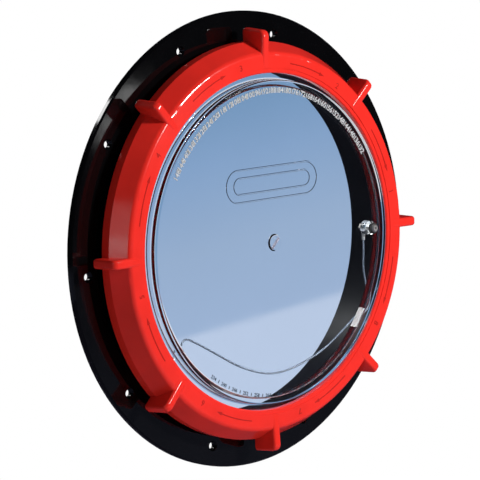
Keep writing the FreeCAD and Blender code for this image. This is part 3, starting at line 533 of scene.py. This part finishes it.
def moulded_lid(sizes):
    """Clear lid with rounded edges, its seal groove, label outlines, centre pip, boss and screw hole."""
    disc_back = LID_FRONT - sizes.disc_thickness
    rim_front = LID_RIM_BACK + sizes.rim_thickness
    groove_floor = LID_RIM_BACK + sizes.groove_depth
    edge = sizes.moulded_round
    pip_front = -LID_LOW.y
    corners = [
        (0.0, disc_back),
        (sizes.hollow_radius, disc_back, edge),
        (sizes.hollow_radius, LID_RIM_BACK, edge / 3),
        (sizes.groove_inner, LID_RIM_BACK),
        (sizes.groove_inner, groove_floor),
        (sizes.groove_outer, groove_floor),
        (sizes.groove_outer, LID_RIM_BACK),
        (LID_RIM_RADIUS, LID_RIM_BACK, edge / 3),
        (LID_RIM_RADIUS, rim_front, edge / 2),
        (sizes.disc_radius, rim_front, edge),
        (sizes.disc_radius, LID_FRONT, edge),
        (sizes.pip_radius, LID_FRONT),
        (sizes.pip_top_radius, pip_front, 0.4 * MM),
        (0.0, pip_front),
    ]
    lid = turned("moulded_clear_lid", corners, sizes.turn_steps)
    proud = 1.0 * MM
    bead_top = LID_FRONT + sizes.bead_rise
    half_bead = sizes.bead_width / 2
    for name, length, height in (
        ("outer_bead", sizes.label_length, sizes.label_height),
        ("inner_bead", sizes.inner_length, sizes.inner_height),
    ):
        slot = (sizes.label_z, length, height)
        loops = [
            (LID_FRONT - proud, stadium(*slot, -half_bead)),
            (LID_FRONT, stadium(*slot, -half_bead)),
            (bead_top, stadium(*slot, -half_bead / 2)),
            (bead_top, stadium(*slot, half_bead / 2)),
            (LID_FRONT, stadium(*slot, half_bead)),
            (LID_FRONT - proud, stadium(*slot, half_bead)),
        ]
        combine(lid, prism(name, loops, hollow=True), "UNION")
    boss = circle_points(TETHER_X, TETHER_Z, sizes.boss_radius)
    boss_back = disc_back - sizes.boss_height
    combine(lid, prism("tether_boss", [(boss_back, boss), (disc_back + proud, boss)]), "UNION")
    hole = circle_points(TETHER_X, TETHER_Z, sizes.shank_hole)
    combine(lid, prism("hole_cutter", [(boss_back - proud, hole), (LID_FRONT + proud, hole)]), "DIFFERENCE")
    smooth_shading(lid)
    return lid


def gate_scar(sizes):
    """Torn ridge that the moulding gate left slanting across its stub."""
    reach = sizes.pip_top_radius - 0.3 * MM
    lean = math.radians(44.0)
    along = Vector((math.cos(lean), math.sin(lean)))
    across = Vector((math.sin(lean), -math.cos(lean)))
    middle = across * 1.2 * MM
    foot = -LID_LOW.y - 0.9 * MM
    crest = -LID_LOW.y - 0.02 * MM
    loops = []
    for height, half_length, upper, lower in (
        (foot, reach, 1.7 * MM, 0.8 * MM),
        (crest, reach * 0.92, 0.1 * MM, 0.1 * MM),
    ):
        corners = [middle + along * side * half_length - across * way
                   for side, way in ((-1, upper), (1, upper), (1, -lower), (-1, -lower))]
        loops.append((height, corners))
    return prism("sheared_gate", loops)


def numeral(text, height, rise):
    """Flat plain numeral standing up from the XY plane, centred on its foot."""
    curve = bpy.data.curves.new("numeral", "FONT")
    curve.body = text
    curve.size = height / 0.7
    curve.align_x = "CENTER"
    curve.bevel_depth = rise / 3
    curve.bevel_resolution = 0
    curve.extrude = rise / 2 - curve.bevel_depth
    curve.resolution_u = 2
    carrier = bpy.data.objects.new("numeral", curve)
    mesh = bpy.data.meshes.new_from_object(carrier)
    bpy.data.objects.remove(carrier)
    return mesh


def marks(name, pieces):
    """One mesh from pieces given as (mesh, matrix)."""
    shape = bmesh.new()
    for mesh, matrix in pieces:
        mesh.transform(matrix)
        shape.from_mesh(mesh)
        bpy.data.meshes.remove(mesh)
    bmesh.ops.remove_doubles(shape, verts=shape.verts, dist=0.001 * MM)
    bmesh.ops.recalc_face_normals(shape, faces=shape.faces)
    joined = bpy.data.meshes.new(name)
    shape.to_mesh(joined)
    shape.free()
    obj = bpy.data.objects.new(name, joined)
    bpy.context.scene.collection.objects.link(obj)
    return obj


def face_place(radius, degrees, height, tops_outward=True):
    """Matrix that lays a flat mark on a front face, its top outward from the axis or inward."""
    turn = math.radians(degrees)
    way = 1 if tops_outward else -1
    outward = Vector((math.cos(turn), 0, math.sin(turn)))
    sideways = Vector((math.sin(turn), 0, -math.cos(turn)))
    forward = Vector((0, -1, 0))
    turned_axes = Matrix((sideways * way, outward * way, forward)).transposed().to_4x4()
    return Matrix.Translation(outward * radius + forward * height) @ turned_axes


def tick(width, length, rise):
    """Small bar with its foot at the origin."""
    mesh = bpy.data.meshes.new("tick")
    shape = bmesh.new()
    bmesh.ops.create_cube(shape, size=1.0)
    stretched = Matrix.Diagonal((width, length, rise, 1))
    bmesh.ops.transform(shape, verts=shape.verts, matrix=Matrix.Translation((0, length / 2, 0)) @ stretched)
    shape.to_mesh(mesh)
    shape.free()
    return mesh


def upper_scale(sizes):
    """Plain degree figures over the top of the lid's face, whose frosting is whitened as painted sparkle."""
    rise = sizes.figure_rise
    bar_width, bar_length, figure_height = 0.7 * MM, 3.8 * MM, 4.0 * MM
    pieces = []
    for degrees in range(32, 149, 2):
        place = face_place(sizes.figure_radius, degrees, LID_FRONT + rise / 2)
        if degrees % 4:
            pieces.append((tick(bar_width, bar_length, rise), place))
        else:
            pieces.append((numeral(str(degrees), figure_height, rise), place))
    return marks("upper_degree_scale", pieces)


def lower_scale(sizes):
    """Finer and flatter degree figures, as clear as the lid, under its foot."""
    rise = sizes.figure_rise / 2
    bar_width, bar_length, figure_height = 0.5 * MM, 2.4 * MM, 2.6 * MM
    pieces = []
    for degrees in range(234, 307, 3):
        place = face_place(sizes.low_figure_radius, degrees, LID_FRONT + rise / 2, False)
        if degrees % 2:
            pieces.append((tick(bar_width, bar_length, rise), place))
        else:
            pieces.append((numeral(str(degrees), figure_height, rise), place))
    return marks("lower_degree_scale", pieces)


def arrow(radius, start, end, width, height, rise):
    """Curved arrow on a front face, from one angle to another."""
    count = 16
    head = math.copysign(2.2, end - start)
    turns = [math.radians(start + (end - head - start) * step / count) for step in range(count + 1)]
    last = math.radians(end - head)
    tip = math.radians(end)
    barb = 1.6 * width

    def spot(turn, reach):
        return math.cos(turn) * reach, math.sin(turn) * reach

    outer = [spot(turn, radius + width / 2) for turn in turns]
    inner = [spot(turn, radius - width / 2) for turn in turns]
    point = [spot(last, radius + barb), spot(tip, radius), spot(last, radius - barb)]
    loop = outer + point + inner[::-1]
    return prism("arrow", [(height, loop), (height + rise, loop)])


def ring_marks(sizes):
    """Plain numbers and closing arrows moulded on the ring's crown."""
    crown = sizes.crown_height
    rise = sizes.ring_mark_rise
    number_height, arrow_width = 4.4 * MM, 0.8 * MM
    pieces = []
    for sector in range(LUG_COUNT):
        lug = 360 / LUG_COUNT * sector + FIRST_LUG
        number = numeral(str(sector + 1), number_height, rise)
        pieces.append((number, face_place(sizes.ring_number_radius, lug + 11, crown + rise / 2)))
        mark = arrow(sizes.ring_arrow_radius, lug + 34, lug + 18, arrow_width, crown, rise)
        pieces.append((mark.data.copy(), Matrix.Identity(4)))
        bpy.data.objects.remove(mark)
    return marks("ring_marks", pieces)


def route_points():
    """Points along the smooth line through the lanyard's route, read from its own spline."""
    curve = bpy.data.curves.new("lanyard_route", "CURVE")
    curve.dimensions = "3D"
    spline = curve.splines.new("NURBS")
    route = [LINE_START, *LINE_ROUTE, LINE_END]
    spline.points.add(len(route) - 1)
    for point, place in zip(spline.points, route):
        point.co = (*[part * MM for part in place], 1.0)
    spline.order_u = 3
    spline.use_endpoint_u = True
    spline.resolution_u = 12
    carrier = bpy.data.objects.new("lanyard_route", curve)
    mesh = bpy.data.meshes.new_from_object(carrier)
    points = [vertex.co.copy() for vertex in mesh.vertices]
    bpy.data.objects.remove(carrier)
    bpy.data.meshes.remove(mesh)
    return points


def tube(name, points, radius, sides=12):
    """Round tube along a line of points, closed at both ends."""
    mesh = bpy.data.meshes.new(name)
    shape = bmesh.new()
    side_way = Vector((0, -1, 0))
    rings = []
    for index, point in enumerate(points):
        before = points[max(index - 1, 0)]
        after = points[min(index + 1, len(points) - 1)]
        along = (after - before).normalized()
        side_way = (side_way - along * side_way.dot(along)).normalized()
        other = along.cross(side_way)
        ring = []
        for step in range(sides):
            angle = 2 * math.pi * step / sides
            outward = side_way * math.cos(angle) + other * math.sin(angle)
            ring.append(shape.verts.new(point + outward * radius))
        rings.append(ring)
    for lower, upper in zip(rings, rings[1:]):
        for step in range(sides):
            after = (step + 1) % sides
            shape.faces.new((lower[step], lower[after], upper[after], upper[step]))
    shape.faces.new(rings[0])
    shape.faces.new(rings[-1])
    bmesh.ops.recalc_face_normals(shape, faces=shape.faces)
    shape.to_mesh(mesh)
    shape.free()
    obj = bpy.data.objects.new(name, mesh)
    bpy.context.scene.collection.objects.link(obj)
    return obj


class HATCH_OT_lanyard(bpy.types.Operator):
    """Lays the lanyard line"""

    bl_idname = "hatch.lanyard"
    bl_label = "Lanyard"

    def execute(self, context):
        sizes = context.scene.hatch_sizes
        colours = context.scene.hatch_colours
        points = route_points()
        line = tube("coated_lanyard_line", points, sizes.line_radius)
        smooth_shading(line)
        dress(line, nylon_coated_wire(colours))
        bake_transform(line)
        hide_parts("lanyard_line")
        return {"FINISHED"}


class HATCH_OT_frame(bpy.types.Operator):
    """Finishes the mounting frame in moulded black"""

    bl_idname = "hatch.mounting_frame"
    bl_label = "Mounting frame"

    def execute(self, context):
        dress(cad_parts["mounting_frame"], moulded_black_asa(context.scene.hatch_colours))
        return {"FINISHED"}


class HATCH_OT_ring(bpy.types.Operator):
    """Finishes the locking ring in moulded red"""

    bl_idname = "hatch.locking_ring"
    bl_label = "Locking ring"

    def execute(self, context):
        colours = context.scene.hatch_colours
        dress(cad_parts["locking_ring"], moulded_red_asa("moulded_red_asa", colours.red))
        figures = ring_marks(context.scene.hatch_sizes)
        # The raised figures get a darker red as painted shade, the shade that engraved figures would hold
        dress(figures, moulded_red_asa("red_figures_painted_shade", colours.worn_red))
        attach(figures, "ring")
        return {"FINISHED"}


class HATCH_OT_lid(bpy.types.Operator):
    """Moulds the clear lid and finishes its seal"""

    bl_idname = "hatch.clear_lid"
    bl_label = "Clear lid"

    def execute(self, context):
        colours = context.scene.hatch_colours
        sizes = context.scene.hatch_sizes
        lid = moulded_lid(sizes)
        clear = clear_polycarbonate(colours)
        dress(lid, clear)
        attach(lid, "lid")
        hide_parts("clear_lid")
        upper = upper_scale(sizes)
        # The upper figures are whitened past their frosting as painted sparkle, standing in for the glints
        # off them
        dress(upper, whitened_polycarbonate("frosted_figures_painted_sparkle", colours.frosted, 0.45))
        lower = lower_scale(sizes)
        dress(lower, clear)
        gate = gate_scar(sizes)
        dress(gate, whitened_polycarbonate("sheared_polycarbonate", colours.torn, 0.55))
        for piece in (upper, lower, gate):
            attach(piece, "lid")
        rubber = moulded_rubber(colours)
        for node in ("lid_seal", "sealing_washer"):
            dress(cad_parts[node], rubber)
        return {"FINISHED"}


class HATCH_OT_fasteners(bpy.types.Operator):
    """Finishes the screws, nuts, washer and eyes in turned steel"""

    bl_idname = "hatch.fasteners"
    bl_label = "Fasteners"

    def execute(self, context):
        steel = turned_stainless(context.scene.hatch_colours)
        names = ("tether_screw", "tether_washer", "tether_nut", "anchor_screw", "anchor_nut",
                 "lanyard_lid_eye", "lanyard_frame_eye")
        for node in names:
            dress(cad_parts[node], steel)
        return {"FINISHED"}


def camera_axes(studio):
    """The camera's own right, up and back directions."""
    azimuth = math.radians(studio.azimuth)
    elevation = math.radians(studio.elevation)
    roll = math.radians(studio.roll)
    back = Vector((math.sin(azimuth) * math.cos(elevation), -math.cos(azimuth) * math.cos(elevation),
                   math.sin(elevation)))
    level = Vector((math.cos(azimuth), math.sin(azimuth), 0))
    upright = back.cross(level)
    right = level * math.cos(roll) + upright * math.sin(roll)
    return right, back.cross(right), back


def flange_mirror(studio, column, row):
    """Place on the flange under a pixel of the square picture, and where the flange mirrors that view to."""
    right, up, back = camera_axes(studio)
    side = PICTURE_SIDE
    focal = studio.lens / SENSOR_WIDTH * side
    way = (right * (column - side / 2 + studio.shift_x * side) / focal
           - up * (row - side / 2 - studio.shift_y * side) / focal - back)
    start = back * studio.distance
    place = start + way * ((-FLANGE_FRONT - start.y) / way.y)
    return place, Vector((way.x, -way.y, way.z))


def add_camera(studio):
    """Camera where the photographer stood, looking along the axes worked out above."""
    data = bpy.data.cameras.new("photographer")
    data.lens = studio.lens
    data.sensor_width = SENSOR_WIDTH
    data.shift_x = studio.shift_x
    data.shift_y = studio.shift_y
    camera = bpy.data.objects.new("photographer", data)
    bpy.context.scene.collection.objects.link(camera)
    right, up, back = camera_axes(studio)
    turn = Matrix((right, up, back)).transposed().to_4x4()
    camera.matrix_world = Matrix.Translation(back * studio.distance) @ turn
    bpy.context.scene.camera = camera


def add_softbox(name, direction, distance, width, height, watts, target=(0.0, 0.0, 0.0)):
    """Rectangular area lamp that faces the hatch from a direction."""
    data = bpy.data.lights.new(name, "AREA")
    data.shape = "RECTANGLE"
    data.size = width
    data.size_y = height
    data.energy = watts
    lamp = bpy.data.objects.new(name, data)
    bpy.context.scene.collection.objects.link(lamp)
    away = Vector(direction).normalized()
    lamp.location = Vector(target) + away * distance
    lamp.rotation_mode = "QUATERNION"
    lamp.rotation_quaternion = away.to_track_quat("Z", "Y")
    return lamp


def studio_world(studio):
    """White behind the hatch, the sky where the clear lid shows it, and a dim room for gloss and fill."""
    world = bpy.data.worlds.new("studio_world")
    world.use_nodes = True
    tree = world.node_tree
    tree.nodes.clear()
    path = add_node(tree, "ShaderNodeLightPath")
    place = add_node(tree, "ShaderNodeTexCoord").outputs["Generated"]
    parts = add_node(tree, "ShaderNodeSeparateXYZ", links={"Vector": place})
    low_down = add_node(tree, "ShaderNodeMapRange",
                        inputs={"From Min": ROOM_LEVELS[0], "From Max": ROOM_LEVELS[1],
                                "To Min": ROOM_STRENGTHS[0], "To Max": ROOM_STRENGTHS[1]},
                        links={"Value": parts.outputs["Z"]})
    gloss = add_node(tree, "ShaderNodeBackground", inputs={"Color": ROOM_TINT},
                     links={"Strength": low_down.outputs["Result"]})
    fill = add_node(tree, "ShaderNodeBackground", inputs={"Color": WHITE, "Strength": FILL_STRENGTH})
    room = add_node(tree, "ShaderNodeMixShader", links={"Fac": path.outputs["Is Diffuse Ray"]})
    tree.links.new(gloss.outputs[0], room.inputs[1])
    tree.links.new(fill.outputs[0], room.inputs[2])
    behind = add_node(tree, "ShaderNodeMath", {"operation": "GREATER_THAN"}, {1: 0.05})
    tree.links.new(parts.outputs["Y"], behind.inputs[0])
    straight = add_node(tree, "ShaderNodeMath", {"operation": "LESS_THAN"}, {1: 0.5})
    tree.links.new(path.outputs["Glossy Depth"], straight.inputs[0])
    clear_way = add_node(tree, "ShaderNodeMath", {"operation": "MAXIMUM"})
    tree.links.new(behind.outputs[0], clear_way.inputs[0])
    tree.links.new(straight.outputs[0], clear_way.inputs[1])
    through = add_node(tree, "ShaderNodeMath", {"operation": "MULTIPLY"})
    tree.links.new(path.outputs["Is Transmission Ray"], through.inputs[0])
    tree.links.new(clear_way.outputs[0], through.inputs[1])
    level = add_node(tree, "ShaderNodeVectorMath", {"operation": "DOT_PRODUCT"}, {1: SKY_RISE})
    tree.links.new(place, level.inputs[0])
    rising = add_node(tree, "ShaderNodeMapRange",
                      inputs={"From Min": SKY_LEVELS[0], "From Max": SKY_LEVELS[1]},
                      links={"Value": level.outputs["Value"]})
    sky = add_node(tree, "ShaderNodeValToRGB", links={"Fac": rising.outputs["Result"]})
    sky.color_ramp.elements[0].position = 0.255
    sky.color_ramp.elements[0].color = studio.sky_haze
    sky.color_ramp.elements[1].position = 0.94
    sky.color_ramp.elements[1].color = studio.sky_high
    for stop, colour in ((0.275, studio.sky_low), (0.51, studio.sky_middle), (0.76, studio.sky_upper)):
        sky.color_ramp.elements.new(stop).color = colour
    lid_sky = add_node(tree, "ShaderNodeBackground", inputs={"Strength": 1.0},
                       links={"Color": sky.outputs["Color"]})
    behind_lid = add_node(tree, "ShaderNodeMixShader", links={"Fac": through.outputs[0]})
    tree.links.new(room.outputs[0], behind_lid.inputs[1])
    tree.links.new(lid_sky.outputs[0], behind_lid.inputs[2])
    backdrop = add_node(tree, "ShaderNodeBackground", inputs={"Color": WHITE, "Strength": 1.0})
    mixed = add_node(tree, "ShaderNodeMixShader", links={"Fac": path.outputs["Is Camera Ray"]})
    tree.links.new(behind_lid.outputs[0], mixed.inputs[1])
    tree.links.new(backdrop.outputs[0], mixed.inputs[2])
    output = add_node(tree, "ShaderNodeOutputWorld")
    tree.links.new(mixed.outputs[0], output.inputs["Surface"])
    bpy.context.scene.world = world


def studio_floor(studio):
    """Pale floor that keeps the hatch's shadow and fades to white at its edge."""
    mesh = bpy.data.meshes.new("studio_floor")
    shape = bmesh.new()
    bmesh.ops.create_circle(shape, cap_ends=True, segments=96, radius=studio.floor_radius)
    shape.to_mesh(mesh)
    shape.free()
    floor = bpy.data.objects.new("studio_floor", mesh)
    floor.location = (0, 0, -studio.floor_drop)
    bpy.context.scene.collection.objects.link(floor)
    material, tree, output = new_material("pale_painted_floor")
    place = add_node(tree, "ShaderNodeTexCoord").outputs["Object"]
    far = add_node(tree, "ShaderNodeVectorMath", {"operation": "LENGTH"})
    tree.links.new(place, far.inputs[0])
    lift = add_node(tree, "ShaderNodeMapRange",
                    inputs={"From Min": 0.3, "From Max": studio.floor_radius, "To Min": 0.55, "To Max": 1.0},
                    links={"Value": far.outputs["Value"]})
    path = add_node(tree, "ShaderNodeLightPath")
    seen = add_node(tree, "ShaderNodeMath", {"operation": "MAXIMUM"})
    tree.links.new(path.outputs["Is Camera Ray"], seen.inputs[0])
    tree.links.new(path.outputs["Is Transmission Ray"], seen.inputs[1])
    strength = add_node(tree, "ShaderNodeMath", {"operation": "MULTIPLY"})
    tree.links.new(lift.outputs["Result"], strength.inputs[0])
    tree.links.new(seen.outputs[0], strength.inputs[1])
    glow = add_node(tree, "ShaderNodeEmission", links={"Strength": strength.outputs[0]})
    shade = add_node(tree, "ShaderNodeMixRGB", inputs={"Color2": MIRRORED_FLOOR},
                     links={"Fac": path.outputs["Is Glossy Ray"],
                            "Color1": mottled(tree, place, (0.8, 0.8, 0.8, 1.0), 400.0, 0.02)})
    paint = add_node(tree, "ShaderNodeBsdfDiffuse", links={"Color": shade.outputs["Color"]})
    both = add_node(tree, "ShaderNodeAddShader")
    tree.links.new(glow.outputs[0], both.inputs[0])
    tree.links.new(paint.outputs[0], both.inputs[1])
    tree.links.new(both.outputs[0], output.inputs["Surface"])
    floor.data.materials.append(material)


class HATCH_OT_studio(bpy.types.Operator):
    """Sets up the camera, lamps, world and floor"""

    bl_idname = "hatch.studio"
    bl_label = "Studio"

    def execute(self, context):
        studio = context.scene.hatch_studio
        context.scene.view_settings.view_transform = "Standard"
        add_camera(studio)
        studio_world(studio)
        studio_floor(studio)
        for softbox in SOFTBOXES:
            add_softbox(*softbox)
        for name, pixel, width, height, watts in WINDOW_CARDS:
            place, mirrored = flange_mirror(studio, *pixel)
            add_softbox(name, mirrored, CARD_DISTANCE, width, height, watts, place)
        rim_light = add_softbox(*REAR_SOFTBOX)
        rim_light.visible_camera = False
        rim_light.visible_transmission = False
        return {"FINISHED"}


class HATCH_PT_panel(bpy.types.Panel):
    """Steps that dress the hatch, in order"""

    bl_label = "Inspection hatch"
    bl_idname = "HATCH_PT_panel"
    bl_space_type = "VIEW_3D"
    bl_region_type = "UI"
    bl_category = "Hatch"

    def draw(self, context):
        for step in STEPS:
            self.layout.operator(step.bl_idname)


STEPS = (
    HATCH_OT_studio,
    HATCH_OT_lanyard,
    HATCH_OT_frame,
    HATCH_OT_ring,
    HATCH_OT_lid,
    HATCH_OT_fasteners,
)
CLASSES = (HatchSizes, HatchColours, HatchStudio, *STEPS, HATCH_PT_panel)


def register():
    for cls in CLASSES:
        bpy.utils.register_class(cls)
    bpy.types.Scene.hatch_sizes = PointerProperty(type=HatchSizes)
    bpy.types.Scene.hatch_colours = PointerProperty(type=HatchColours)
    bpy.types.Scene.hatch_studio = PointerProperty(type=HatchStudio)


def unregister():
    del bpy.types.Scene.hatch_studio
    del bpy.types.Scene.hatch_colours
    del bpy.types.Scene.hatch_sizes
    for cls in reversed(CLASSES):
        bpy.utils.unregister_class(cls)


def main():
    register()
    bpy.ops.hatch.studio()
    bpy.ops.hatch.lanyard()
    bpy.ops.hatch.mounting_frame()
    bpy.ops.hatch.locking_ring()
    bpy.ops.hatch.clear_lid()
    bpy.ops.hatch.fasteners()


if __name__ == "__main__":
    main()
